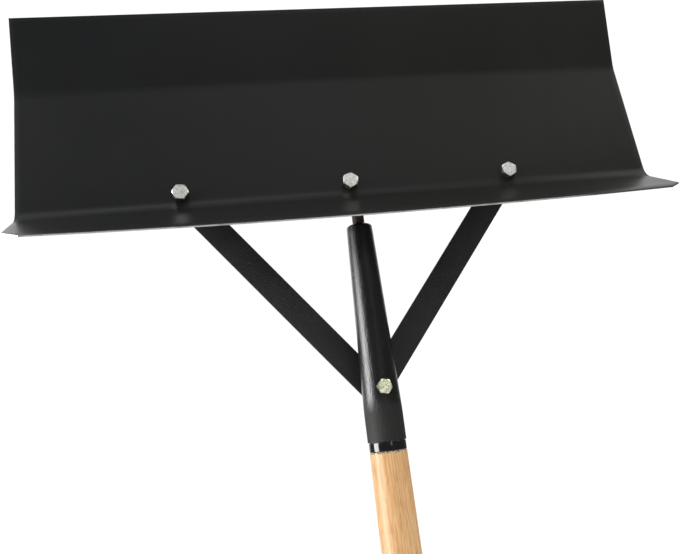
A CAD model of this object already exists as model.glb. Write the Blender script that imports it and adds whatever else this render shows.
"""Looks of the steel snow shovel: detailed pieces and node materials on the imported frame.

Metres, +Z up. The handle lies along Z at x = 0, y = 0, and the blade's hollow face looks to -Y.
"""

import math

import bmesh
import bpy
from mathutils import Matrix, Vector


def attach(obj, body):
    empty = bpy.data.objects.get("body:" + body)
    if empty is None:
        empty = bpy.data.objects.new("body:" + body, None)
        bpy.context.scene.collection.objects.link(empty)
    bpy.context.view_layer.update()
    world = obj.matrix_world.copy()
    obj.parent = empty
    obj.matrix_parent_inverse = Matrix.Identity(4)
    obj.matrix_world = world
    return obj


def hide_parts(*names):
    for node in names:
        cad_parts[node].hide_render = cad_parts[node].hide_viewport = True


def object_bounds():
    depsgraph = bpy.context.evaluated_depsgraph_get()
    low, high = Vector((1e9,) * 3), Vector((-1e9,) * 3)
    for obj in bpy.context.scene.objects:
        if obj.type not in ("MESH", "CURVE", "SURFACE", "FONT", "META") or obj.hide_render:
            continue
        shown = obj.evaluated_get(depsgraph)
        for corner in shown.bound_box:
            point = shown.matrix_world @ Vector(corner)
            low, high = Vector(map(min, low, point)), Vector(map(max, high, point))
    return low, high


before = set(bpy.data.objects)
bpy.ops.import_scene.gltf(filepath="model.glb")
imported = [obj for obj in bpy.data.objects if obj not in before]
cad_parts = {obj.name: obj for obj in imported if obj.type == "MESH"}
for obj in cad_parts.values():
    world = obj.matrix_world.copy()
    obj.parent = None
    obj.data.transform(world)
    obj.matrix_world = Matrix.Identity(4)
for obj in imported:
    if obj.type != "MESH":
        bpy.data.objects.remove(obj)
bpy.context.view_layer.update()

# Clearances, cutters and mesh clean-up
GAP = 0.0003
HOLE_CLEARANCE = 0.0002
CUTTER_TURN = math.radians(2.3)
MERGE = 0.00002
SLIVER = 0.000008
SMOOTH_ANGLE = math.radians(35.0)
CUTTER_STEPS = 48
CUT_BLADE = 0.020
CUT_THROUGH = 0.030
CUT_ACROSS = 0.060
BEHIND_BLADE = 0.004

# Blade sheet
BLADE_WIDTH = 0.610
SHEET = 0.0016
BOLT_LINE_Y = 0.01554
BOLT_LINE_Z = 0.0230
LOWER_TILT = math.radians(8.24)
LOWER_PANEL = 0.1142
BEND_ANGLE = math.radians(14.2)
BEND_RADIUS = 0.040
BEND_STEPS = 12
UPPER_PANEL = 0.0760
CURVE_DROP = 0.0147
CURVE_ANGLE = math.radians(55.6)
CURVE_RADIUS = 0.018
CURVE_STEPS = 24
LIP_LENGTH = 0.0720
LIP_CLIP_LENGTH = 0.0157
LIP_CLIP_WIDTH = 0.0165
LIP_DROOP = math.radians(4.1)
BLADE_COLUMNS = 96
RIM_MATERIAL = 1
PANEL_ROWS = 14
LIP_ROWS = 8
SHEET_EDGE = 0.00035
SHEET_EDGE_STEPS = 2
SHEET_EDGE_ANGLE = math.radians(60.0)
EDGE_INSET = 0.00001

# Socket, collar and handle
SOCKET_TOP = -0.0240
SOCKET_TAPER_END = -0.1920
SOCKET_MOUTH = -0.2209
SOCKET_TOP_RADIUS = 0.01185
SOCKET_RADIUS = 0.0171
SOCKET_WALL = 0.0015
SOCKET_SHOULDER = 0.0030
SOCKET_BOLT_Z = -0.1742
SOCKET_ROWS = 60
TAPER_BLEND = 0.010
SOCKET_LIP = SOCKET_WALL * 0.35
SOCKET_LIP_STEPS = 4
COLLAR_RADIUS = 0.0165
COLLAR_END = -0.2291
COLLAR_EDGE_SHARE = 0.6
COLLAR_EDGE_STEPS = 6
HANDLE_TOP = -0.0600
HANDLE_NECK_RADIUS = 0.0165
HANDLE_SWELL_Z = -0.3900
HANDLE_RADIUS = 0.01775
HANDLE_END = -1.1440
HANDLE_DOME = 0.0150
HANDLE_FLAT_RADIUS = 0.0070
HANDLE_EDGE = 0.0005
HANDLE_TIP_EDGE = 0.002
SWELL_ROWS = 16
STRAIGHT_ROWS = 24
TURN_STEPS = 96
ARC_STEPS = 10

# Shank
SHANK_RADIUS = 0.00555
SHANK_BOTTOM = -0.0450
SHANK_CLEARANCE = 0.0010
SHANK_BEND_RADIUS = 0.009
TANG_HALF_WIDTH = 0.0120
TANG_THICKNESS = 0.0050
TANG_RISE = 0.0150
TANG_FLAT_DROP = 0.0105
SHANK_SIDE_STEPS = 16
SHANK_BEND_STEPS = 16
SHANK_CURVE_STEPS = 8
SHANK_BENT_Y = 0.0005
TANG_END_STEP = math.radians(5.0)
TANG_END_STEPS = 17

# Braces
BRACE_WIDTH = 0.0250
BRACE_THICKNESS = 0.0030
BRACE_BEND_Z = 0.0115
BRACE_FLAT_RISE = 0.0260
BRACE_LAP_GAP = 0.0005
BRACE_EDGE = 0.0006
BRACE_EDGE_STEPS = 3
BRACE_END_STEPS = 32
BRACE_BEND_HALF = 0.003
BRACE_BEND_CUTS = 3
BRACE_BEND_SAMPLES = 8
BRACE_EDGE_ANGLE = math.radians(50.0)
BRACE_SMOOTH_ANGLE = math.radians(25.0)
OUTER_BOLT_X = 0.1595

# Fasteners
BLADE_BOLT = {"radius": 0.0050, "flats": 0.0140, "head": 0.0062, "nut": 0.0080, "pitch": 0.0015,
              "washer_radius": 0.0088, "washer": 0.0022, "length": 0.0230, "thread": 0.0170}
SOCKET_BOLT = {"radius": 0.0040, "flats": 0.0120, "head": 0.0054, "nut": 0.0065, "pitch": 0.00125,
               "washer_radius": 0.0072, "washer": 0.0019, "length": 0.0560, "thread": 0.0200}
BOLT_SPIN = {"left": math.radians(23.6), "center": math.radians(51.0), "right": math.radians(54.8)}
SOCKET_BOLT_SPIN = math.radians(19.9)
HEAD_FACE_RATIO = 0.95
CHAMFER_SLOPE = 0.577
SEAT_RATIO = 0.97
SEAT_HEIGHT = 0.0004
BORE_CHAMFER = 0.0005
THREAD_DEPTH = 0.55
# A multiple of 12, so that a point falls on each corner and on the middle of each flat.
HEX_STEPS = 72
FACET_ANGLE = math.radians(20.0)
THREAD_STEPS_PER_PITCH = 6
WASHER_OPENING = math.radians(12.0)
WASHER_STEPS = 60
WASHER_RISE = 0.0003
WASHER_EDGE = 0.0002
WASHER_SKEW = 0.10

# Floor and studio
FLOOR_RINGS = (0.8, 1.8)
FLOOR_RADIUS = 3.6
FLOOR_THICKNESS = 0.01
FLOOR_GAP = 0.001
FLOOR_FADE_START = 0.9
FLOOR_GLOW = 0.50
WHITE_SEEN = 1.05
WORLD_LIGHT = 0.95
REAR_DIRECTION = (0.0, 0.8, 0.6)
# Where the world's light begins and is full, by direction, and its brightness at both.
REAR_LIGHT = (0.56, 0.92, 0.10, 1.75)
TOP_LIGHT = (0.55, 0.95, 0.0, 0.5)
# Name, place, target, width, height and watts.
SOFTBOXES = (
    ("left_strip", (-1.19, -0.08, 0.0), (0.0, 0.0, -0.05), 0.75, 1.20, 11.0),
    ("left_shine", (-1.25, -0.085, 0.0), (0.0, 0.0, -0.05), 0.68, 1.26, 22.0),
    ("left_high", (-1.45, -0.80, 1.20), (0.0, 0.0, -0.1), 1.0, 0.8, 6.8),
    ("front_panel", (0.38, -1.45, 1.08), (0.0, 0.0, 0.0), 1.5, 0.50, 2.6),
    ("low_card", (0.36, -1.58, -0.08), (0.0, 0.0, -0.17), 0.26, 0.26, 0.40),
    ("overhead", (-0.30, -0.75, 1.80), (0.0, 0.0, 0.0), 1.6, 0.6, 5.9),
    ("right_high", (1.55, -0.45, 1.30), (0.0, 0.0, -0.1), 1.2, 1.0, 7.6),
    ("low_fill", (0.85, -1.45, -0.70), (0.0, 0.0, -0.1), 1.4, 0.7, 8.0),
)

# Camera
CAMERA_PLACE = (-0.1450, -0.6873, -0.2058)
CAMERA_AZIMUTH = math.radians(9.98)
CAMERA_RISE = math.radians(10.945)
CAMERA_ROLL = math.radians(7.1)
CAMERA_LENS = 41.43
CAMERA_SENSOR = 36.0
CAMERA_NEAR = 0.01


# ---------------------------------------------------------------- meshes

def finish_mesh(name, bm, smooth_angle=SMOOTH_ANGLE):
    """A smooth mesh from a bmesh, with its edges sharp beyond an angle."""
    mesh = bpy.data.meshes.new(name)
    bmesh.ops.recalc_face_normals(bm, faces=bm.faces)
    bm.to_mesh(mesh)
    bm.free()
    mesh.shade_smooth()
    mesh.set_sharp_from_angle(angle=smooth_angle)
    return mesh


def add_piece(name, mesh, materials, placement=None):
    item = bpy.data.objects.new(name, mesh)
    bpy.context.scene.collection.objects.link(item)
    for material in materials:
        mesh.materials.append(material)
    if placement is not None:
        item.matrix_world = placement
    return item


def settle(item, smooth_angle=SMOOTH_ANGLE):
    """Applies an object's modifiers and clears away slivers, so that the piece is one clean mesh."""
    bpy.context.view_layer.update()
    evaluated = item.evaluated_get(bpy.context.evaluated_depsgraph_get())
    mesh = bpy.data.meshes.new_from_object(evaluated)
    item.modifiers.clear()
    item.data = mesh
    bm = bmesh.new()
    bm.from_mesh(mesh)
    bmesh.ops.dissolve_degenerate(bm, dist=SLIVER, edges=bm.edges)
    bmesh.ops.remove_doubles(bm, verts=bm.verts, dist=SLIVER)
    bm.to_mesh(mesh)
    bm.free()
    mesh.shade_smooth()
    mesh.set_sharp_from_angle(angle=smooth_angle)


def join_node(item, node):
    """Puts a piece in the model in place of its CAD node."""
    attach(item, "root")
    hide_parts(node)


def add_boolean(item, cutter):
    modifier = item.modifiers.new("Boolean", "BOOLEAN")
    modifier.operation = "DIFFERENCE"
    modifier.solver = "EXACT"
    modifier.object = cutter


def add_bevel(item, width, segments, angle):
    modifier = item.modifiers.new("Bevel", "BEVEL")
    modifier.width = width
    modifier.segments = segments
    modifier.limit_method = "ANGLE"
    modifier.angle_limit = angle


def drill(item, cutters, bevel=None, smooth_angle=SMOOTH_ANGLE):
    """Cuts the holes, bevels the edges if asked, settles the piece and removes the cutters."""
    for cutter in cutters:
        add_boolean(item, cutter)
    if bevel is not None:
        add_bevel(item, *bevel)
    settle(item, smooth_angle)
    for cutter in cutters:
        mesh = cutter.data
        bpy.data.objects.remove(cutter, do_unlink=True)
        bpy.data.meshes.remove(mesh)


def turned_bmesh(outline, steps, closed):
    """A body about Z from its rows: (radius, z) points, or functions of the angle that give one."""
    bm = bmesh.new()
    rings = []
    for row in outline:
        if not callable(row) and row[0] < MERGE:
            rings.append([bm.verts.new((0.0, 0.0, row[1]))])
            continue
        ring = []
        for index in range(steps):
            angle = 2.0 * math.pi * index / steps
            radius, z = row(angle) if callable(row) else row
            ring.append(bm.verts.new((radius * math.cos(angle), radius * math.sin(angle), z)))
        rings.append(ring)
    pairs = list(zip(rings, rings[1:]))
    if closed:
        pairs.append((rings[-1], rings[0]))
    for first, second in pairs:
        for index in range(steps):
            following = (index + 1) % steps
            if len(first) == 1:
                bm.faces.new((first[0], second[index], second[following]))
            elif len(second) == 1:
                bm.faces.new((first[index], second[0], first[following]))
            else:
                bm.faces.new((first[index], second[index], second[following], first[following]))
    return bm


def turned_piece(name, outline, closed, material):
    return add_piece(name, finish_mesh(name, turned_bmesh(outline, TURN_STEPS, closed)), [material])


def arc_points(center, radius, start, end, steps):
    points = []
    for index in range(steps + 1):
        angle = start + (end - start) * index / steps
        points.append((center[0] + radius * math.cos(angle), center[1] + radius * math.sin(angle)))
    return points


def bolt_placement(x, distance, spin=0.0):
    """A frame on the blade's bolt line with local +Z out of the front face, set back by a distance."""
    out = Vector((0.0, -math.cos(LOWER_TILT), math.sin(LOWER_TILT)))
    position = Vector((x, BOLT_LINE_Y, BOLT_LINE_Z)) - out * distance
    across = Vector((1.0, 0.0, 0.0))
    upward = out.cross(across)
    axes = Matrix((across, upward, out)).transposed().to_4x4()
    return Matrix.Translation(position) @ axes @ Matrix.Rotation(spin, 4, "Z")


def socket_bolt_placement(y, spin=0.0):
    """A frame on the socket bolt's axis with local +Z towards -Y."""
    axes = Matrix(((1.0, 0.0, 0.0), (0.0, 0.0, -1.0), (0.0, 1.0, 0.0))).to_4x4()
    return Matrix.Translation((0.0, y, SOCKET_BOLT_Z)) @ axes @ Matrix.Rotation(spin, 4, "Z")


def cylinder_cutter(radius, length, placement):
    """A drill's cylinder, turned a little so that none of its corners lies on a piece's middle line."""
    bm = turned_bmesh([(0.0, length / 2.0), (radius, length / 2.0), (radius, -length / 2.0),
                       (0.0, -length / 2.0)], CUTTER_STEPS, False)
    turn = Matrix.Rotation(CUTTER_TURN, 4, "Z")
    return add_piece("cutter", finish_mesh("cutter", bm), [], placement @ turn)


# ---------------------------------------------------------------- blade

def walk(position, heading, distance):
    """One straight step in the Y-Z plane; a heading of 0 is straight down, positive leans to -Y."""
    y, z = position
    return (y - distance * math.sin(heading), z - distance * math.cos(heading))


def walk_bend(position, heading, turn, radius, steps):
    """A bend in equal chords: its points after the first one, and the heading it ends with."""
    points = []
    chord = 2.0 * radius * math.sin(turn / steps / 2.0)
    for index in range(steps):
        position = walk(position, heading + turn * (index + 0.5) / steps, chord)
        points.append(position)
    return points, heading + turn


def between(first, last, rows):
    """Evenly spaced points after the first one, up to the last one."""
    points = []
    for index in range(1, rows + 1):
        share = index / rows
        points.append((first[0] + (last[0] - first[0]) * share, first[1] + (last[1] - first[1]) * share))
    return points


def blade_profile(droop):
    """Front face from the straight edge, through the bend and the curve, to the lip's edge."""
    bend_half = BEND_RADIUS * math.tan(BEND_ANGLE / 2.0)
    curve_half = CURVE_RADIUS * math.tan(CURVE_ANGLE / 2.0)
    apex = walk((BOLT_LINE_Y, BOLT_LINE_Z), LOWER_TILT, -LOWER_PANEL)
    heading = LOWER_TILT - BEND_ANGLE
    points = [walk(apex, heading, -UPPER_PANEL)]
    points += between(points[0], walk(apex, heading, -bend_half), PANEL_ROWS)
    bend, heading = walk_bend(points[-1], heading, BEND_ANGLE, BEND_RADIUS, BEND_STEPS)
    points += bend
    start = walk((BOLT_LINE_Y, BOLT_LINE_Z), LOWER_TILT, CURVE_DROP - curve_half)
    points += between(points[-1], start, PANEL_ROWS)
    curve, heading = walk_bend(start, heading, CURVE_ANGLE - droop, CURVE_RADIUS, CURVE_STEPS)
    points += curve
    lip = LIP_LENGTH - curve_half
    clip_start = walk(curve[-1], heading, lip - LIP_CLIP_LENGTH)
    points += between(curve[-1], clip_start, LIP_ROWS)
    points.append(walk(curve[-1], heading, lip))
    return points


def make_blade(paint, bare):
    bm = bmesh.new()
    columns = []
    for index in range(BLADE_COLUMNS + 1):
        share = 2.0 * index / BLADE_COLUMNS - 1.0
        profile = blade_profile(LIP_DROOP * (1.0 - share * share))
        column = []
        for row, (y, z) in enumerate(profile):
            clip = LIP_CLIP_WIDTH if row == len(profile) - 1 else 0.0
            column.append(bm.verts.new((share * (BLADE_WIDTH / 2.0 - EDGE_INSET - clip), y, z)))
        columns.append(column)
    for left, right in zip(columns, columns[1:]):
        for row in range(len(left) - 1):
            bm.faces.new((left[row], left[row + 1], right[row + 1], right[row]))
    mesh = bpy.data.meshes.new("blade_sheet")
    bm.to_mesh(mesh)
    bm.free()
    item = add_piece("blade_sheet", mesh, [paint, bare])
    sheet = item.modifiers.new("Sheet", "SOLIDIFY")
    sheet.thickness = SHEET
    sheet.offset = -1.0
    sheet.use_even_offset = True
    sheet.material_offset_rim = RIM_MATERIAL
    add_bevel(item, SHEET_EDGE, SHEET_EDGE_STEPS, SHEET_EDGE_ANGLE)
    cutters = []
    for x in (-OUTER_BOLT_X, 0.0, OUTER_BOLT_X):
        cutters.append(cylinder_cutter(BLADE_BOLT["radius"] + HOLE_CLEARANCE, CUT_BLADE,
                                       bolt_placement(x, 0.0)))
    drill(item, cutters)
    join_node(item, "blade")


# ---------------------------------------------------------------- shank

def section_points(center, side, normal, half_width, half_depth):
    """Points on a stadium section; a circle where both halves are equal."""
    points = []
    spread = half_width - half_depth
    for end, start in ((1.0, -math.pi / 2.0), (-1.0, math.pi / 2.0)):
        for index in range(SHANK_SIDE_STEPS + 1):
            angle = start + math.pi * index / SHANK_SIDE_STEPS
            across = end * spread + half_depth * math.cos(angle)
            points.append(center + side * across + normal * (half_depth * math.sin(angle)))
    return points


def lofted_bmesh(sections):
    """A closed body through sections of equal point counts, capped at both ends."""
    bm = bmesh.new()
    rings = [[bm.verts.new(point) for point in section] for section in sections]
    for lower, upper in zip(rings, rings[1:]):
        for index in range(len(lower)):
            following = (index + 1) % len(lower)
            bm.faces.new((lower[index], lower[following], upper[following], upper[index]))
    bm.faces.new(list(reversed(rings[0])))
    bm.faces.new(rings[-1])
    bmesh.ops.remove_doubles(bm, verts=bm.verts, dist=MERGE)
    return bm


def rounded_path(corners, radius, steps):
    """The corners of a bent bar with each inner corner replaced by an arc."""
    points = [corners[0]]
    for before, corner, after in zip(corners, corners[1:], corners[2:]):
        back = (before - corner).normalized()
        ahead = (after - corner).normalized()
        half = back.angle(ahead) / 2.0
        center = corner + (back + ahead).normalized() * (radius / math.sin(half))
        start = corner + back * (radius / math.tan(half)) - center
        end = corner + ahead * (radius / math.tan(half)) - center
        sweep = start.angle(end)
        for index in range(steps + 1):
            share = index / steps
            mixed = start * math.sin((1.0 - share) * sweep) + end * math.sin(share * sweep)
            points.append(center + mixed / math.sin(sweep))
    points.append(corners[-1])
    return points


def crossing(point, direction, other, other_direction):
    """Where two lines in the Y-Z plane meet."""
    cross = direction.x * other_direction.y - direction.y * other_direction.x
    offset = other - point
    share = (offset.x * other_direction.y - offset.y * other_direction.x) / cross
    return point + direction * share


def shank_corners():
    """Corners of the bar's centre line: up the socket, back under the lip, up behind the blade."""
    curve_half = CURVE_RADIUS * math.tan(CURVE_ANGLE / 2.0)
    start = walk((BOLT_LINE_Y, BOLT_LINE_Z), LOWER_TILT, CURVE_DROP - curve_half)
    curve, heading = walk_bend(start, LOWER_TILT, CURVE_ANGLE - LIP_DROOP, CURVE_RADIUS,
                               SHANK_CURVE_STEPS)
    below = SHEET + SHANK_RADIUS + SHANK_CLEARANCE
    under = Vector(curve[-1]) + Vector((math.cos(heading), -math.sin(heading))) * below
    under_way = Vector((math.sin(heading), math.cos(heading)))
    up_panel = Vector((math.sin(LOWER_TILT), math.cos(LOWER_TILT)))
    behind = Vector((math.cos(LOWER_TILT), -math.sin(LOWER_TILT)))
    bolt = Vector((BOLT_LINE_Y, BOLT_LINE_Z)) + behind * (SHEET + GAP + TANG_THICKNESS / 2.0)
    first = crossing(under, under_way, Vector((0.0, 0.0)), Vector((0.0, 1.0)))
    second = crossing(under, under_way, bolt, up_panel)
    corners = [Vector((0.0, SHANK_BOTTOM)), first, second, bolt - up_panel * TANG_FLAT_DROP,
               bolt + up_panel * TANG_RISE]
    return [Vector((0.0, corner.x, corner.y)) for corner in corners]


def make_shank(material):
    corners = shank_corners()
    path = rounded_path(corners[:4], SHANK_BEND_RADIUS, SHANK_BEND_STEPS)
    bend_start = next(index for index, point in enumerate(path) if point.y > SHANK_BENT_Y)
    side = Vector((1.0, 0.0, 0.0))
    sections = []
    for index, point in enumerate(path):
        along = (path[min(index + 1, len(path) - 1)] - path[max(index - 1, 0)]).normalized()
        share = max(0.0, (index - bend_start) / (len(path) - 1 - bend_start))
        blend = share * share * (3.0 - 2.0 * share)
        half_width = SHANK_RADIUS + (TANG_HALF_WIDTH - SHANK_RADIUS) * blend
        half_depth = SHANK_RADIUS + (TANG_THICKNESS / 2.0 - SHANK_RADIUS) * blend
        sections.append(section_points(point, side, along.cross(side), half_width, half_depth))
    along = (corners[-1] - path[-1]).normalized()
    rise = (corners[-1] - path[-1]).length - TANG_HALF_WIDTH
    for index in range(TANG_END_STEPS + 1):
        angle = TANG_END_STEP * index
        width = TANG_HALF_WIDTH * math.cos(angle) + TANG_THICKNESS / 2.0 * (1.0 - math.cos(angle))
        center = path[-1] + along * (rise + TANG_HALF_WIDTH * math.sin(angle))
        sections.append(section_points(center, side, along.cross(side), width, TANG_THICKNESS / 2.0))
    item = add_piece("shank_bar", finish_mesh("shank_bar", lofted_bmesh(sections)), [material])
    cutter = cylinder_cutter(BLADE_BOLT["radius"] + HOLE_CLEARANCE, CUT_THROUGH,
                             bolt_placement(0.0, BEHIND_BLADE))
    drill(item, [cutter])
    join_node(item, "shank")


# ---------------------------------------------------------------- socket, collar, handle

def socket_outer_radius(z):
    share = (z - SOCKET_TAPER_END) / (SOCKET_TOP - SOCKET_TAPER_END)
    return SOCKET_RADIUS + (SOCKET_TOP_RADIUS - SOCKET_RADIUS) * max(0.0, share)


def soft_socket_radius(z):
    """The socket's radius with the end of its taper rounded over."""
    slope = (SOCKET_RADIUS - SOCKET_TOP_RADIUS) / (SOCKET_TOP - SOCKET_TAPER_END)
    into = z - SOCKET_TAPER_END + TAPER_BLEND
    if into <= 0.0:
        return SOCKET_RADIUS
    if into >= 2.0 * TAPER_BLEND:
        return socket_outer_radius(z)
    return SOCKET_RADIUS - slope * into * into / (4.0 * TAPER_BLEND)


def make_socket(material):
    hole = SHANK_RADIUS + HOLE_CLEARANCE
    center = (SOCKET_TOP_RADIUS - SOCKET_SHOULDER, SOCKET_TOP - SOCKET_SHOULDER)
    inner_top = SOCKET_TOP - SOCKET_SHOULDER
    inner = SOCKET_RADIUS - SOCKET_WALL
    outline = [(hole, SOCKET_TOP - SOCKET_LIP), (hole + SOCKET_LIP, SOCKET_TOP)]
    outline += arc_points(center, SOCKET_SHOULDER, math.pi / 2.0, 0.0, ARC_STEPS)
    for index in range(1, SOCKET_ROWS + 1):
        z = inner_top + (SOCKET_MOUTH + 2.0 * SOCKET_LIP - inner_top) * index / SOCKET_ROWS
        outline.append((soft_socket_radius(z), z))
    outline += arc_points((SOCKET_RADIUS - SOCKET_LIP, SOCKET_MOUTH + SOCKET_LIP), SOCKET_LIP,
                          0.0, -math.pi / 2.0, SOCKET_LIP_STEPS)
    outline += [(inner, SOCKET_MOUTH), (inner, SOCKET_TAPER_END),
                (socket_outer_radius(inner_top) - SOCKET_WALL, inner_top), (hole, inner_top)]
    item = turned_piece("socket_tube", outline, True, material)
    cutter = cylinder_cutter(SOCKET_BOLT["radius"] + HOLE_CLEARANCE, CUT_ACROSS, socket_bolt_placement(0.0))
    drill(item, [cutter])
    join_node(item, "socket")


def make_collar(material):
    inner = SOCKET_RADIUS - SOCKET_WALL
    top = SOCKET_MOUTH - GAP
    edge = (COLLAR_RADIUS - inner) * COLLAR_EDGE_SHARE
    outline = [(inner, top)]
    outline += arc_points((COLLAR_RADIUS - edge, top - edge), edge, math.pi / 2.0, 0.0, COLLAR_EDGE_STEPS)
    outline += arc_points((COLLAR_RADIUS - edge, COLLAR_END + edge), edge,
                          0.0, -math.pi / 2.0, COLLAR_EDGE_STEPS)
    outline.append((inner, COLLAR_END))
    join_node(turned_piece("collar_ring", outline, True, material), "socket_collar")


def make_handle(material):
    inside = SOCKET_RADIUS - SOCKET_WALL - GAP
    shoulder = COLLAR_END - GAP
    tip = HANDLE_TOP - HANDLE_TIP_EDGE
    swell_top = shoulder - HANDLE_EDGE
    outline = [
        (0.0, HANDLE_TOP),
        (socket_outer_radius(HANDLE_TOP) - SOCKET_WALL - GAP - HANDLE_TIP_EDGE, HANDLE_TOP),
        (socket_outer_radius(tip) - SOCKET_WALL - GAP, tip),
        (inside, SOCKET_TAPER_END),
        (inside, shoulder),
        (HANDLE_NECK_RADIUS - HANDLE_EDGE, shoulder),
        (HANDLE_NECK_RADIUS, swell_top),
    ]
    for index in range(1, SWELL_ROWS + 1):
        share = index / SWELL_ROWS
        swell = math.sin(share * math.pi / 2.0)
        radius = HANDLE_NECK_RADIUS + (HANDLE_RADIUS - HANDLE_NECK_RADIUS) * (share + swell) / 2.0
        outline.append((radius, swell_top + (HANDLE_SWELL_Z - swell_top) * share))
    dome_top = HANDLE_END + HANDLE_DOME
    for index in range(1, STRAIGHT_ROWS):
        outline.append((HANDLE_RADIUS, HANDLE_SWELL_Z + (dome_top - HANDLE_SWELL_Z) * index / STRAIGHT_ROWS))
    for index in range(ARC_STEPS + 1):
        angle = math.pi / 2.0 * index / ARC_STEPS
        radius = HANDLE_FLAT_RADIUS + (HANDLE_RADIUS - HANDLE_FLAT_RADIUS) * math.cos(angle)
        outline.append((radius, HANDLE_END + HANDLE_DOME * (1.0 - math.sin(angle))))
    outline.append((0.0, HANDLE_END))
    item = turned_piece("handle_wood", outline, False, material)
    cutter = cylinder_cutter(SOCKET_BOLT["radius"] + HOLE_CLEARANCE, CUT_ACROSS, socket_bolt_placement(0.0))
    drill(item, [cutter])
    join_node(item, "handle")


# ---------------------------------------------------------------- braces

def brace_outline(side):
    """Corners of the flat strap in the X-Z plane, with a round end about each bolt."""
    top = Vector((side * OUTER_BOLT_X, BOLT_LINE_Z))
    bottom = Vector((0.0, SOCKET_BOLT_Z))
    along = (top - bottom).normalized()
    heading = math.atan2(along.y, along.x)
    half = BRACE_WIDTH / 2.0
    outline = arc_points(top, half, heading - math.pi / 2.0, heading + math.pi / 2.0, BRACE_END_STEPS)
    outline += arc_points(bottom, half, heading + math.pi / 2.0, heading + 1.5 * math.pi, BRACE_END_STEPS)
    return outline


def brace_depth(z, layer):
    """The strap's mid-plane at a height: along the blade, then straight, then flat on the socket."""
    offset = (SHEET + GAP + BRACE_THICKNESS / 2.0) / math.cos(LOWER_TILT)
    low_z = SOCKET_BOLT_Z + BRACE_FLAT_RISE
    low_y = SOCKET_RADIUS + GAP + BRACE_THICKNESS / 2.0 + layer * (BRACE_THICKNESS + BRACE_LAP_GAP)
    bend_y = BOLT_LINE_Y + (BRACE_BEND_Z - BOLT_LINE_Z) * math.tan(LOWER_TILT) + offset
    if z >= BRACE_BEND_Z:
        return BOLT_LINE_Y + (z - BOLT_LINE_Z) * math.tan(LOWER_TILT) + offset
    if z <= low_z:
        return low_y
    return low_y + (bend_y - low_y) * (z - low_z) / (BRACE_BEND_Z - low_z)


def soft_brace_depth(z, layer):
    """The same line with its two bends rounded."""
    total = 0.0
    for index in range(-BRACE_BEND_SAMPLES, BRACE_BEND_SAMPLES + 1):
        total += brace_depth(z + BRACE_BEND_HALF * index / BRACE_BEND_SAMPLES, layer)
    return total / (2 * BRACE_BEND_SAMPLES + 1)


def make_brace(name, node, side, layer, material):
    bm = bmesh.new()
    verts = [bm.verts.new((x, 0.0, z)) for x, z in brace_outline(side)]
    bm.faces.new(verts)
    for bend_z in (BRACE_BEND_Z, SOCKET_BOLT_Z + BRACE_FLAT_RISE):
        for step in range(-BRACE_BEND_CUTS, BRACE_BEND_CUTS + 1):
            height = bend_z + BRACE_BEND_HALF * step / BRACE_BEND_CUTS
            geometry = bm.verts[:] + bm.edges[:] + bm.faces[:]
            bmesh.ops.bisect_plane(bm, geom=geometry, plane_co=(0.0, 0.0, height), plane_no=(0.0, 0.0, 1.0))
    for vert in bm.verts:
        vert.co.y = soft_brace_depth(vert.co.z, layer)
    mesh = bpy.data.meshes.new(name)
    bm.to_mesh(mesh)
    bm.free()
    item = add_piece(name, mesh, [material])
    strap = item.modifiers.new("Strap", "SOLIDIFY")
    strap.thickness = BRACE_THICKNESS
    strap.offset = 0.0
    strap.use_even_offset = True
    cutters = [
        cylinder_cutter(BLADE_BOLT["radius"] + HOLE_CLEARANCE, CUT_THROUGH,
                        bolt_placement(side * OUTER_BOLT_X, BEHIND_BLADE)),
        cylinder_cutter(SOCKET_BOLT["radius"] + HOLE_CLEARANCE, CUT_THROUGH,
                        socket_bolt_placement(SOCKET_RADIUS)),
    ]
    drill(item, cutters, (BRACE_EDGE, BRACE_EDGE_STEPS, BRACE_EDGE_ANGLE), BRACE_SMOOTH_ANGLE)
    join_node(item, node)


# ---------------------------------------------------------------- fasteners

def hex_radius(flats, angle):
    """Distance from the axis to a hexagon's side, with a flat's middle at angle 0."""
    sixth = math.pi / 3.0
    return flats / 2.0 / math.cos((angle + sixth / 2.0) % sixth - sixth / 2.0)


def hex_side(flats, face, base, direction):
    """A row on a hexagon's sides, where a chamfer cone from a round face cuts them."""
    def row(angle):
        radius = hex_radius(flats, angle)
        return radius, base - direction * (radius - face) * CHAMFER_SLOPE
    return row


def hex_row(flats, height):
    """A level row on a hexagon's sides."""
    def row(angle):
        return hex_radius(flats, angle), height
    return row


def thread_row(size, z):
    """A row across the bolt's stem; the last stretch carries a V thread, tapered at its end."""
    depth = size["pitch"] * THREAD_DEPTH
    thread_top = size["thread"] - size["length"]
    into = min(1.0, max(0.0, (thread_top - z) / (2.0 * size["pitch"])))
    end = max(0.0, 1.0 - (z + size["length"]) / size["pitch"])

    def row(angle):
        turn = (z / size["pitch"] - angle / (2.0 * math.pi)) % 1.0
        groove = depth * (1.0 - abs(2.0 * turn - 1.0))
        return size["radius"] - groove * into - depth * end, z
    return row


def make_bolt(name, node, size, placement, material):
    face = size["flats"] / 2.0 * HEAD_FACE_RATIO
    seat = size["flats"] / 2.0 * SEAT_RATIO
    outline = [(0.0, size["head"]), (face, size["head"]), hex_side(size["flats"], face, size["head"], 1.0),
               hex_row(size["flats"], SEAT_HEIGHT), (seat, SEAT_HEIGHT), (seat, 0.0), (size["radius"], 0.0)]
    thread_top = size["thread"] - size["length"]
    rows = math.ceil(size["thread"] / size["pitch"] * THREAD_STEPS_PER_PITCH)
    for index in range(rows + 1):
        outline.append(thread_row(size, thread_top - size["thread"] * index / rows))
    outline.append((0.0, -size["length"]))
    mesh = finish_mesh(name, turned_bmesh(outline, HEX_STEPS, False), FACET_ANGLE)
    mesh.transform(placement)
    join_node(add_piece(name, mesh, [material]), node)


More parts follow.
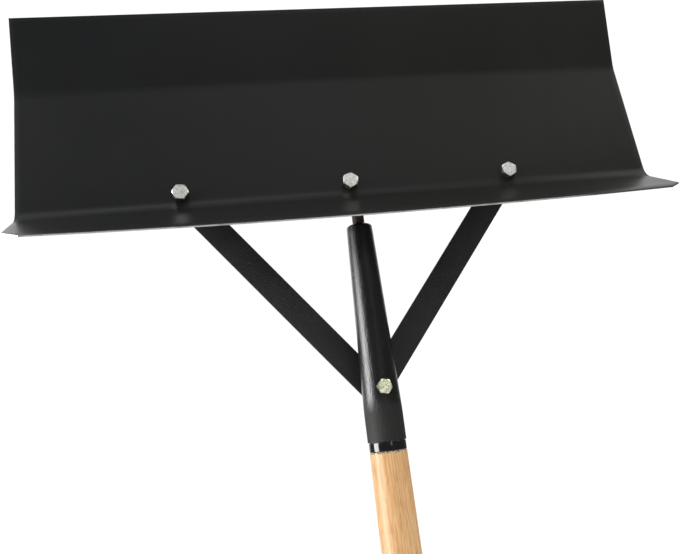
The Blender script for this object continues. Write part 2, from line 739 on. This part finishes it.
def make_nut(name, node, size, placement, material):
    face = size["flats"] / 2.0 * HEAD_FACE_RATIO
    bore = size["radius"] + HOLE_CLEARANCE
    mouth = bore + BORE_CHAMFER
    outline = [(mouth, 0.0), (face, 0.0), hex_side(size["flats"], face, 0.0, 1.0),
               hex_side(size["flats"], face, -size["nut"], -1.0), (face, -size["nut"]),
               (mouth, -size["nut"]), (bore, BORE_CHAMFER - size["nut"]), (bore, -BORE_CHAMFER)]
    mesh = finish_mesh(name, turned_bmesh(outline, HEX_STEPS, True), FACET_ANGLE)
    mesh.transform(placement)
    join_node(add_piece(name, mesh, [material]), node)


def make_washer(name, node, size, placement, material):
    """A split lock washer: a slightly wound ring with chamfered edges, open at one slanting cut."""
    bore = size["radius"] + HOLE_CLEARANCE
    outer = size["washer_radius"]
    thick = size["washer"]
    edge = WASHER_EDGE
    section = [(bore + edge, -WASHER_RISE), (outer - edge, -WASHER_RISE), (outer, -WASHER_RISE - edge),
               (outer, edge - thick), (outer - edge, -thick), (bore + edge, -thick),
               (bore, edge - thick), (bore, -WASHER_RISE - edge)]
    sections = []
    for index in range(WASHER_STEPS + 1):
        share = index / WASHER_STEPS
        angle = WASHER_OPENING / 2.0 + (2.0 * math.pi - WASHER_OPENING) * share
        points = []
        for radius, z in section:
            skew = angle + z / thick * WASHER_SKEW
            lift = WASHER_RISE * share
            points.append(Vector((radius * math.cos(skew), radius * math.sin(skew), z + lift)))
        sections.append(points)
    item = add_piece(name, finish_mesh(name, lofted_bmesh(sections)), [material], placement)
    join_node(item, node)


def make_fasteners(zinc, yellow_zinc):
    behind = {"left": BRACE_THICKNESS, "center": TANG_THICKNESS, "right": BRACE_THICKNESS}
    places = {"left": -OUTER_BOLT_X, "center": 0.0, "right": OUTER_BOLT_X}
    for side, x in places.items():
        spin = BOLT_SPIN[side]
        make_bolt("bolt_" + side, "blade_bolt_" + side, BLADE_BOLT, bolt_placement(x, -GAP, spin), zinc)
        washer_top = SHEET + GAP + behind[side] + GAP
        make_washer("washer_" + side, "blade_washer_" + side, BLADE_BOLT,
                    bolt_placement(x, washer_top, -spin), zinc)
        nut_top = washer_top + BLADE_BOLT["washer"] + GAP
        make_nut("nut_" + side, "blade_nut_" + side, BLADE_BOLT, bolt_placement(x, nut_top, spin * 2.0), zinc)
    head_y = -(socket_outer_radius(SOCKET_BOLT_Z - SOCKET_BOLT["flats"] / 2.0) + GAP)
    make_bolt("bolt_socket", "socket_bolt", SOCKET_BOLT,
              socket_bolt_placement(head_y, SOCKET_BOLT_SPIN), yellow_zinc)
    washer_y = SOCKET_RADIUS + GAP + 2.0 * BRACE_THICKNESS + BRACE_LAP_GAP + GAP
    make_washer("washer_socket", "socket_washer", SOCKET_BOLT, socket_bolt_placement(washer_y), yellow_zinc)
    nut_y = washer_y + SOCKET_BOLT["washer"] + GAP
    make_nut("nut_socket", "socket_nut", SOCKET_BOLT, socket_bolt_placement(nut_y), yellow_zinc)


# ---------------------------------------------------------------- materials

# The colour sockets of a Mix node, which share their names with its number and vector sockets.
MIX_FACTOR = 0
MIX_FIRST = 6
MIX_SECOND = 7
MIX_COLOR = 2
# Most of a noise texture's values lie between these two.
NOISE_LOW = 0.3
NOISE_HIGH = 0.7


def range_node(nodes, low, high, new_low, new_high):
    node = nodes.new("ShaderNodeMapRange")
    values = {"From Min": low, "From Max": high, "To Min": new_low, "To Max": new_high}
    for socket, value in values.items():
        node.inputs[socket].default_value = value
    return node


class Shader:
    """A Principled material with short calls for the nodes that feed it."""

    def __init__(self, name):
        self.material = bpy.data.materials.new(name)
        self.material.use_nodes = True
        self.nodes = self.material.node_tree.nodes
        self.links = self.material.node_tree.links
        self.surface = self.nodes["Principled BSDF"]

    def put(self, socket, value):
        self.surface.inputs[socket].default_value = value

    def link(self, source, target):
        self.links.new(source, target)

    def feed(self, source, socket):
        self.link(source, self.surface.inputs[socket])

    def position(self, scale=(1.0, 1.0, 1.0), turn=(0.0, 0.0, 0.0), place=(0.0, 0.0, 0.0)):
        coordinates = self.nodes.new("ShaderNodeTexCoord")
        mapping = self.nodes.new("ShaderNodeMapping")
        mapping.inputs["Scale"].default_value = scale
        mapping.inputs["Rotation"].default_value = turn
        mapping.inputs["Location"].default_value = place
        self.link(coordinates.outputs["Object"], mapping.inputs["Vector"])
        return mapping.outputs["Vector"]

    def noise(self, vector, scale, detail, roughness, distortion=0.0):
        texture = self.nodes.new("ShaderNodeTexNoise")
        texture.inputs["Scale"].default_value = scale
        texture.inputs["Detail"].default_value = detail
        texture.inputs["Roughness"].default_value = roughness
        texture.inputs["Distortion"].default_value = distortion
        self.link(vector, texture.inputs["Vector"])
        return texture.outputs["Fac"]

    def ramp(self, factor, stops):
        """Colours, or greys given as one number, at places from 0 to 1."""
        node = self.nodes.new("ShaderNodeValToRGB")
        elements = node.color_ramp.elements
        while len(elements) < len(stops):
            elements.new(0.5)
        for element, (place, color) in zip(elements, stops):
            element.position = place
            if isinstance(color, (int, float)):
                color = (color, color, color)
            element.color = (*color, 1.0)
        self.link(factor, node.inputs["Fac"])
        return node.outputs["Color"]

    def span(self, factor, low, high, new_low, new_high, kind="LINEAR"):
        node = range_node(self.nodes, low, high, new_low, new_high)
        node.interpolation_type = kind
        self.link(factor, node.inputs["Value"])
        return node.outputs["Result"]

    def spread(self, noise, low, high):
        """A noise stretched over a range of values."""
        return self.span(noise, NOISE_LOW, NOISE_HIGH, low, high)

    def math(self, operation, first, second=0.0):
        node = self.nodes.new("ShaderNodeMath")
        node.operation = operation
        for index, value in enumerate((first, second)):
            if isinstance(value, (int, float)):
                node.inputs[index].default_value = value
            else:
                self.link(value, node.inputs[index])
        return node.outputs["Value"]

    def mix(self, factor, first, second):
        node = self.nodes.new("ShaderNodeMix")
        node.data_type = "RGBA"
        self.link(factor, node.inputs[MIX_FACTOR])
        for index, value in ((MIX_FIRST, first), (MIX_SECOND, second)):
            if isinstance(value, tuple):
                node.inputs[index].default_value = (*value, 1.0)
            else:
                self.link(value, node.inputs[index])
        return node.outputs[MIX_COLOR]

    def layer(self, tone, layers):
        """Colours laid over a tone one after another, each with the share it covers."""
        for share, color in layers:
            tone = self.mix(share, tone, color)
        return tone

    def axis(self, vector, letter):
        node = self.nodes.new("ShaderNodeSeparateXYZ")
        self.link(vector, node.inputs["Vector"])
        return node.outputs[letter]

    def bump(self, height, distance, strength, below=None):
        node = self.nodes.new("ShaderNodeBump")
        node.inputs["Distance"].default_value = distance
        node.inputs["Strength"].default_value = strength
        self.link(height, node.inputs["Height"])
        if below is not None:
            self.link(below, node.inputs["Normal"])
        return node.outputs["Normal"]


def sheet_paint():
    """Thin matte black paint on pressed sheet: soft clouds, dust and faint rubbed streaks."""
    shade = Shader("sheet_paint")
    place = shade.position()
    clouds = shade.noise(place, 9.0, 4.0, 0.55)
    fine = shade.noise(place, 900.0, 2.0, 0.6)
    streaks = shade.noise(shade.position((60.0, 60.0, 3.0), (0.0, 0.10, 0.0)), 1.0, 5.0, 0.65)
    dust = shade.ramp(shade.noise(place, 1500.0, 1.0, 0.4), [(0.70, 0.0), (0.78, 1.0)])
    left = shade.mix(clouds, (0.0096, 0.0104, 0.0114), (0.0152, 0.0158, 0.0162))
    right = shade.mix(clouds, (0.0143, 0.0142, 0.0124), (0.0222, 0.0215, 0.0180))
    tone = shade.mix(shade.span(shade.axis(place, "X"), -0.20, 0.25, 0.0, 1.0), left, right)
    tone = shade.layer(tone, (
        (shade.span(streaks, 0.45, 0.8, 0.0, 0.35), (0.014, 0.0137, 0.013)),
        (shade.math("MULTIPLY", dust, 0.10), (0.10, 0.10, 0.095)),
    ))
    shade.feed(tone, "Base Color")
    rough = shade.math("ADD", shade.spread(clouds, 0.34, 0.41), shade.spread(fine, -0.02, 0.03))
    shade.feed(rough, "Roughness")
    wave = shade.bump(shade.noise(place, 16.0, 1.0, 0.3), 0.0006, 0.5)
    shade.feed(shade.bump(fine, 0.00006, 0.5, wave), "Normal")
    shade.put("Specular IOR Level", 0.19)
    return shade.material


def powder_coat(name, rough_low, rough_high, base, shine, coat=0.0, matte_below=None):
    """Finely grained powder coat; below a height it can turn matte."""
    shade = Shader(name)
    place = shade.position()
    clouds = shade.noise(place, 22.0, 4.0, 0.5)
    grain = shade.noise(place, 1100.0, 2.0, 0.6)
    lumps = shade.noise(place, 750.0, 2.0, 0.5)
    dark = tuple(channel * 0.6 for channel in base)
    light = tuple(channel * 1.45 for channel in base)
    tone = shade.mix(clouds, dark, light)
    sparkle = shade.ramp(grain, [(0.60, 0.0), (0.74, 1.0)])
    tone = shade.mix(shade.math("MULTIPLY", sparkle, 0.22), tone, (0.06, 0.06, 0.058))
    rough = shade.spread(clouds, rough_low, rough_high)
    if matte_below is not None:
        ragged = shade.math("MULTIPLY", shade.noise(place, 60.0, 3.0, 0.5), 0.010)
        height = shade.math("ADD", shade.axis(place, "Z"), ragged)
        gloss = shade.span(height, matte_below - 0.002, matte_below + 0.020, 0.0, 1.0, "SMOOTHSTEP")
        shade.feed(shade.span(gloss, 0.0, 1.0, 0.0, coat), "Coat Weight")
        rough = shade.math("ADD", rough, shade.span(gloss, 0.0, 1.0, 0.40, 0.0))
        tone = shade.mix(gloss, (0.024, 0.0234, 0.0227), tone)
    else:
        shade.put("Coat Weight", coat)
    shade.put("Specular IOR Level", shine)
    shade.put("Coat Roughness", rough_high)
    shade.feed(tone, "Base Color")
    shade.feed(rough, "Roughness")
    coarse = shade.bump(lumps, 0.0006, 0.6)
    surface = shade.bump(grain, 0.00009, 0.6, coarse)
    shade.feed(surface, "Normal")
    shade.feed(surface, "Coat Normal")
    return shade.material


def socket_coat():
    """The same powder coat, glossier on the swaged taper than on the straight mouth."""
    return powder_coat("socket_coat", 0.22, 0.29, (0.0050, 0.0051, 0.0050), 0.28, 0.85, SOCKET_TAPER_END)


def forged_bar():
    shade = Shader("forged_bar")
    place = shade.position()
    scale = shade.noise(place, 260.0, 5.0, 0.6)
    patches = shade.noise(place, 60.0, 3.0, 0.5)
    tone = shade.mix(scale, (0.018, 0.014, 0.013), (0.060, 0.042, 0.036))
    tone = shade.mix(shade.span(patches, 0.50, 0.80, 0.0, 0.7), tone, (0.075, 0.040, 0.026))
    shade.feed(tone, "Base Color")
    shade.feed(shade.spread(scale, 0.38, 0.62), "Roughness")
    shade.feed(shade.bump(scale, 0.0003, 0.6), "Normal")
    shade.put("Metallic", 0.35)
    return shade.material


def gloss_ring():
    shade = Shader("gloss_ring")
    place = shade.position()
    smears = shade.noise(shade.position((1.0, 1.0, 8.0)), 90.0, 4.0, 0.6)
    tone = shade.mix(smears, (0.006, 0.006, 0.007), (0.014, 0.013, 0.013))
    shade.feed(tone, "Base Color")
    shade.feed(shade.spread(smears, 0.07, 0.18), "Roughness")
    shade.feed(shade.bump(shade.noise(place, 140.0, 2.0, 0.4), 0.0004, 0.35), "Normal")
    shade.put("Coat Weight", 0.5)
    shade.put("Coat Roughness", 0.05)
    return shade.material


def bare_edge():
    """Sheared steel along the sheet's edge: bright, with fine tear marks across it."""
    shade = Shader("bare_edge")
    tears = shade.noise(shade.position((1.0, 0.35, 0.35)), 900.0, 3.0, 0.6)
    stains = shade.noise(shade.position(), 45.0, 4.0, 0.6)
    tone = shade.mix(tears, (0.42, 0.42, 0.41), (0.66, 0.66, 0.64))
    tone = shade.mix(shade.span(stains, 0.52, 0.75, 0.0, 0.75), tone, (0.10, 0.098, 0.094))
    across = shade.axis(shade.position(), "X")
    patches = shade.math("MULTIPLY", shade.noise(shade.position(), 18.0, 4.0, 0.6), 0.10)
    painted = shade.span(shade.math("ADD", across, patches), 0.21, 0.27, 0.0, 0.92)
    tone = shade.mix(painted, tone, (0.012, 0.012, 0.0115))
    shade.feed(tone, "Base Color")
    shade.feed(shade.span(painted, 0.0, 0.92, 0.85, 0.0), "Metallic")
    shade.feed(shade.spread(tears, 0.35, 0.58), "Roughness")
    shade.feed(shade.bump(tears, 0.0001, 0.6), "Normal")
    return shade.material


def zinc(name, cool, warm, rough_low, rough_high):
    """Zinc plating: fine grain, cloudy tint and a few darker scuffs."""
    shade = Shader(name)
    place = shade.position()
    clouds = shade.noise(place, 150.0, 4.0, 0.6)
    grain = shade.noise(place, 2600.0, 2.0, 0.6)
    scuffs = shade.noise(shade.position(turn=(0.6, 0.3, 0.9)), 420.0, 6.0, 0.7, 0.6)
    tone = shade.mix(clouds, cool, warm)
    dull = tuple(channel * 0.45 for channel in cool)
    tone = shade.mix(shade.span(scuffs, 0.50, 0.60, 0.0, 0.60), tone, dull)
    nicks = shade.noise(shade.position(turn=(0.2, 0.9, 0.4)), 760.0, 3.0, 0.6)
    tone = shade.mix(shade.span(nicks, 0.58, 0.66, 0.0, 0.70), tone, (0.16, 0.16, 0.14))
    shade.feed(tone, "Base Color")
    rough = shade.math("ADD", shade.spread(clouds, rough_low, rough_high), shade.spread(grain, -0.04, 0.05))
    shade.feed(rough, "Roughness")
    dents = shade.bump(scuffs, 0.00010, 0.5)
    shade.feed(shade.bump(grain, 0.00003, 0.5, dents), "Normal")
    shade.put("Metallic", 1.0)
    return shade.material


def hardwood():
    """Straight-grained hardwood turned from a board: slanting growth rings, fibres and pores."""
    shade = Shader("hardwood")
    drift = shade.noise(shade.position((14.0, 14.0, 1.6)), 1.0, 3.0, 0.5)
    place = shade.position((1.0, 1.0, 0.055), (0.030, -0.022, 0.0), (0.052, 0.034, 0.0))
    axes = (shade.axis(place, "X"), shade.axis(place, "Y"))
    squares = [shade.math("MULTIPLY", axis, axis) for axis in axes]
    radius = shade.math("POWER", shade.math("ADD", *squares), 0.5)
    radius = shade.math("ADD", radius, shade.math("MULTIPLY", shade.axis(shade.position(), "Z"), 0.011))
    radius = shade.math("ADD", radius, shade.math("MULTIPLY", drift, 0.0075))
    rings = shade.math("FRACT", shade.math("MULTIPLY", radius, 430.0))
    growth = shade.ramp(rings, [(0.0, 0.15), (0.10, 0.0), (0.55, 0.25), (0.88, 0.85), (1.0, 0.15)])
    fibres = shade.noise(shade.position((900.0, 900.0, 14.0)), 1.0, 4.0, 0.65)
    threads = shade.noise(shade.position((2600.0, 2600.0, 60.0)), 1.0, 2.0, 0.6)
    pores = shade.ramp(shade.noise(shade.position((1500.0, 1500.0, 46.0)), 1.0, 1.0, 0.4),
                       [(0.63, 0.0), (0.70, 1.0)])
    bands = shade.noise(shade.position((38.0, 38.0, 0.9)), 1.0, 3.0, 0.55)
    mottle = shade.noise(shade.position((420.0, 420.0, 50.0)), 1.0, 4.0, 0.65, 0.4)
    tone = shade.layer(shade.mix(growth, (0.990, 0.590, 0.262), (0.720, 0.330, 0.100)), (
        (shade.span(fibres, 0.35, 0.75, 0.0, 0.75), (0.960, 0.660, 0.370)),
        (shade.span(bands, 0.50, 0.75, 0.0, 0.55), (0.760, 0.370, 0.140)),
        (shade.span(mottle, 0.50, 0.66, 0.0, 0.60), (0.680, 0.320, 0.105)),
        (shade.span(mottle, 0.46, 0.32, 0.0, 0.45), (1.000, 0.720, 0.420)),
        (shade.span(threads, 0.52, 0.75, 0.0, 0.70), (0.520, 0.240, 0.080)),
        (shade.math("MULTIPLY", pores, 0.55), (0.420, 0.200, 0.075)),
    ))
    ragged = shade.noise(shade.position((520.0, 520.0, 130.0)), 1.0, 2.0, 0.5)
    height = shade.math("ADD", shade.axis(shade.position(), "Z"), shade.math("MULTIPLY", ragged, 0.0030))
    stain = shade.span(height, COLLAR_END - 0.0004, COLLAR_END + 0.0004, 0.0, 0.85)
    flecks = shade.ramp(shade.noise(shade.position(), 620.0, 1.0, 0.4), [(0.52, 0.0), (0.58, 1.0)])
    stain_tone = shade.mix(flecks, (0.10, 0.055, 0.028), (0.95, 0.88, 0.74))
    tone = shade.mix(stain, tone, stain_tone)
    shade.feed(tone, "Base Color")
    shade.feed(shade.spread(fibres, 0.40, 0.56), "Roughness")
    wide = shade.bump(growth, 0.00012, 0.25)
    shade.feed(shade.bump(fibres, 0.00010, 0.35, wide), "Normal")
    shade.put("Coat Weight", 0.06)
    shade.put("Coat Roughness", 0.28)
    return shade.material


def pale_floor():
    """A pale floor that keeps soft shadows and fades to the white studio at its rim."""
    shade = Shader("pale_floor")
    place = shade.position()
    clouds = shade.noise(place, 2.0, 3.0, 0.5)
    pale = shade.mix(clouds, (0.70, 0.70, 0.69), (0.76, 0.76, 0.75))
    reach = shade.nodes.new("ShaderNodeVectorMath")
    reach.operation = "LENGTH"
    shade.link(place, reach.inputs[0])
    rim = shade.span(reach.outputs["Value"], FLOOR_FADE_START, FLOOR_RADIUS, 0.0, 1.0, "SMOOTHSTEP")
    seen = shade.nodes.new("ShaderNodeLightPath").outputs["Is Camera Ray"]
    dim = shade.mix(rim, (0.28, 0.28, 0.278), (0.0, 0.0, 0.0))
    shade.feed(shade.mix(seen, pale, dim), "Base Color")
    shade.put("Emission Color", (1.0, 1.0, 1.0, 1.0))
    glow = shade.span(rim, 0.0, 1.0, FLOOR_GLOW, WHITE_SEEN)
    shade.feed(shade.math("MULTIPLY", seen, glow), "Emission Strength")
    shade.feed(shade.spread(clouds, 0.55, 0.70), "Roughness")
    return shade.material


# ---------------------------------------------------------------- stage

def make_floor():
    low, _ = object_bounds()
    outline = [(radius, 0.0) for radius in (0.0, *FLOOR_RINGS, FLOOR_RADIUS)]
    outline += [(FLOOR_RADIUS, -FLOOR_THICKNESS), (0.0, -FLOOR_THICKNESS)]
    item = turned_piece("floor", outline, False, pale_floor())
    item.matrix_world = Matrix.Translation((0.0, 0.0, low.z - FLOOR_GAP))


def make_world():
    """A white studio: white where the camera looks at it, softer as a light on the object."""
    world = bpy.data.worlds.new("studio")
    bpy.context.scene.world = world
    world.use_nodes = True
    nodes = world.node_tree.nodes
    links = world.node_tree.links
    nodes.clear()
    output = nodes.new("ShaderNodeOutputWorld")
    seen = nodes.new("ShaderNodeBackground")
    seen.inputs["Color"].default_value = (1.0, 1.0, 1.0, 1.0)
    seen.inputs["Strength"].default_value = WHITE_SEEN
    lit = nodes.new("ShaderNodeBackground")
    lit.inputs["Strength"].default_value = WORLD_LIGHT
    coordinates = nodes.new("ShaderNodeTexCoord")
    split = nodes.new("ShaderNodeSeparateXYZ")
    behind = nodes.new("ShaderNodeVectorMath")
    behind.operation = "DOT_PRODUCT"
    behind.inputs[1].default_value = REAR_DIRECTION
    depth = range_node(nodes, *REAR_LIGHT)
    above = range_node(nodes, *TOP_LIGHT)
    total = nodes.new("ShaderNodeMath")
    tint = nodes.new("ShaderNodeCombineColor")
    path = nodes.new("ShaderNodeLightPath")
    mixer = nodes.new("ShaderNodeMixShader")
    links.new(coordinates.outputs["Generated"], split.inputs["Vector"])
    links.new(coordinates.outputs["Generated"], behind.inputs[0])
    links.new(behind.outputs["Value"], depth.inputs["Value"])
    links.new(split.outputs["Z"], above.inputs["Value"])
    links.new(depth.outputs["Result"], total.inputs[0])
    links.new(above.outputs["Result"], total.inputs[1])
    for channel in ("Red", "Green", "Blue"):
        links.new(total.outputs["Value"], tint.inputs[channel])
    links.new(tint.outputs["Color"], lit.inputs["Color"])
    links.new(path.outputs["Is Camera Ray"], mixer.inputs["Fac"])
    links.new(lit.outputs["Background"], mixer.inputs[1])
    links.new(seen.outputs["Background"], mixer.inputs[2])
    links.new(mixer.outputs["Shader"], output.inputs["Surface"])


def add_softbox(name, place, target, width, height, power):
    light = bpy.data.lights.new(name, "AREA")
    light.shape = "RECTANGLE"
    light.size = width
    light.size_y = height
    light.energy = power
    item = bpy.data.objects.new(name, light)
    bpy.context.scene.collection.objects.link(item)
    item.location = place
    item.rotation_euler = (Vector(target) - Vector(place)).to_track_quat("-Z", "Y").to_euler()
    item.visible_camera = False


def make_lights():
    for softbox in SOFTBOXES:
        add_softbox(*softbox)
    bpy.data.objects["left_shine"].visible_diffuse = False
    bpy.data.objects["low_fill"].visible_glossy = False


def make_camera():
    data = bpy.data.cameras.new("camera")
    data.sensor_width = CAMERA_SENSOR
    data.lens = CAMERA_LENS
    data.clip_start = CAMERA_NEAR
    item = bpy.data.objects.new("camera", data)
    bpy.context.scene.collection.objects.link(item)
    turn = Matrix.Rotation(-CAMERA_AZIMUTH, 4, "Z") @ Matrix.Rotation(math.pi / 2.0 + CAMERA_RISE, 4, "X")
    item.matrix_world = Matrix.Translation(CAMERA_PLACE) @ turn @ Matrix.Rotation(-CAMERA_ROLL, 4, "Z")
    bpy.context.scene.camera = item


def main():
    strap_coat = powder_coat("strap_coat", 0.46, 0.56, (0.019, 0.0195, 0.0195), 0.4)
    bright = zinc("zinc", (0.74, 0.75, 0.73), (0.80, 0.79, 0.72), 0.26, 0.38)
    yellowish = zinc("yellow_zinc", (0.86, 0.88, 0.66), (0.93, 0.91, 0.63), 0.20, 0.30)
    make_blade(sheet_paint(), bare_edge())
    make_shank(forged_bar())
    make_socket(socket_coat())
    make_collar(gloss_ring())
    make_handle(hardwood())
    make_brace("strap_left", "brace_left", -1.0, 1, strap_coat)
    make_brace("strap_right", "brace_right", 1.0, 0, strap_coat)
    make_fasteners(bright, yellowish)
    make_floor()
    make_world()
    make_lights()
    make_camera()
    bpy.context.scene.view_settings.view_transform = "Standard"


main()
